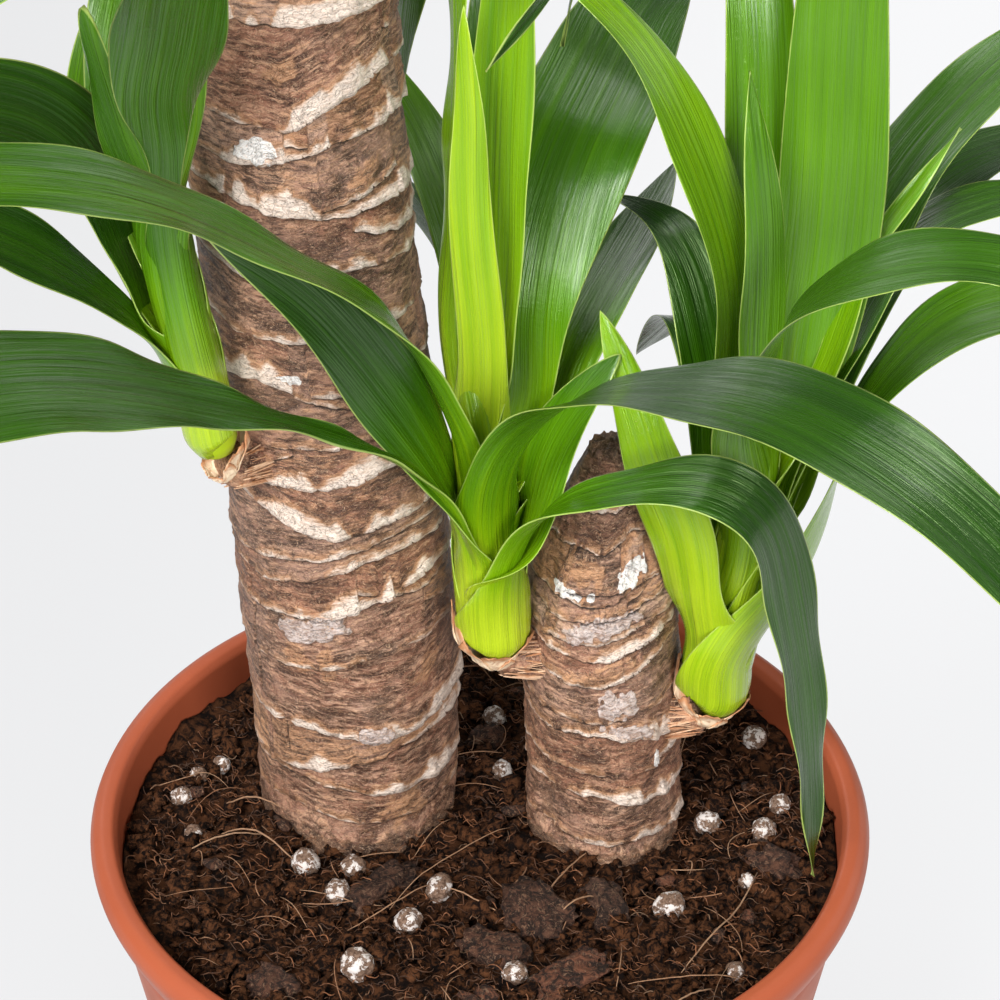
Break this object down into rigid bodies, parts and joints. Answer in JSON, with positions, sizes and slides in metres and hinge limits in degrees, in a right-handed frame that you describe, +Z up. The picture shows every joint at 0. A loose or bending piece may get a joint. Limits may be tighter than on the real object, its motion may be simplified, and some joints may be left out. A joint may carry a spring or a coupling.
{
  "type": "potted yucca",
  "caption": "Cane yucca house plant in a round terracotta plastic pot: thick barked canes with tufts of long arching sword-shaped leaves.",
  "frame": {"origin": "middle of the flat underside of the pot, on the pot's axis", "axes": "+Z up along the pot's axis; the picture looks along +Y, with the taller cane towards -X and the shorter cane towards +X"},
  "size_m": [0.4407, 0.3911, 0.839],
  "materials": {
    "pot_plastic": "satin moulded terracotta-coloured plastic",
    "potting_soil": "rough dark peat crumbs with fibres, bark chips and clay beads",
    "bark": "dry grey-brown bark with flaky leaf scars",
    "husk": "dry papery leaf bases, cream with brown edges",
    "leaf": "glossy waxy leaf, pale lime at the base and dark green towards the tip"
  },
  "bodies": {
    "root": {"pot": "pot_plastic", "soil": "potting_soil", "cane_tall": "bark", "cane_short": "bark", "collar_left": "husk", "collar_middle": "husk", "collar_right": "husk", "collar_crown_left": "husk", "collar_crown_right": "husk", "shoot_left": "leaf", "shoot_middle": "leaf", "shoot_right": "leaf", "crown_left": "leaf", "crown_right": "leaf"}
  },
  "joints": []
}
